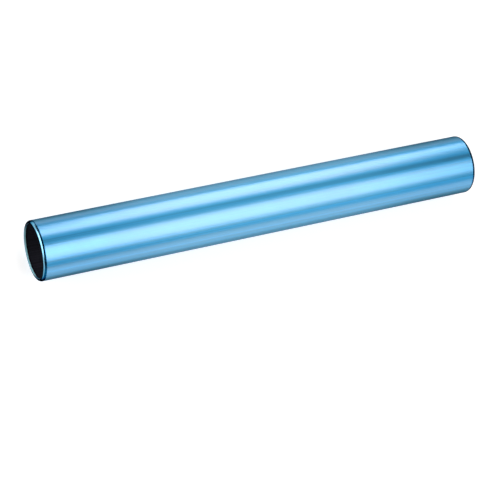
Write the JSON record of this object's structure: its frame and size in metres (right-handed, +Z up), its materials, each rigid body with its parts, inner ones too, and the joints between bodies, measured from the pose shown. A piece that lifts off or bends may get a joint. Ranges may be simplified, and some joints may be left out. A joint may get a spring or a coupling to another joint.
{
  "type": "relay baton",
  "caption": "Smooth hollow metal tube with both ends rolled inwards, carried in the hand and passed between runners.",
  "frame": {"origin": "middle of the flat that the tube rests on, straight below the middle of its length", "axes": "+X along the tube towards the end that is farther off in the picture, +Y away from the viewer, +Z up"},
  "size_m": [0.3, 0.038, 0.038],
  "materials": {
    "anodised_metal": "light blue anodised aluminium, satin, with fine lines along the tube"
  },
  "bodies": {
    "root": {"baton_tube": "anodised_metal"}
  },
  "joints": []
}
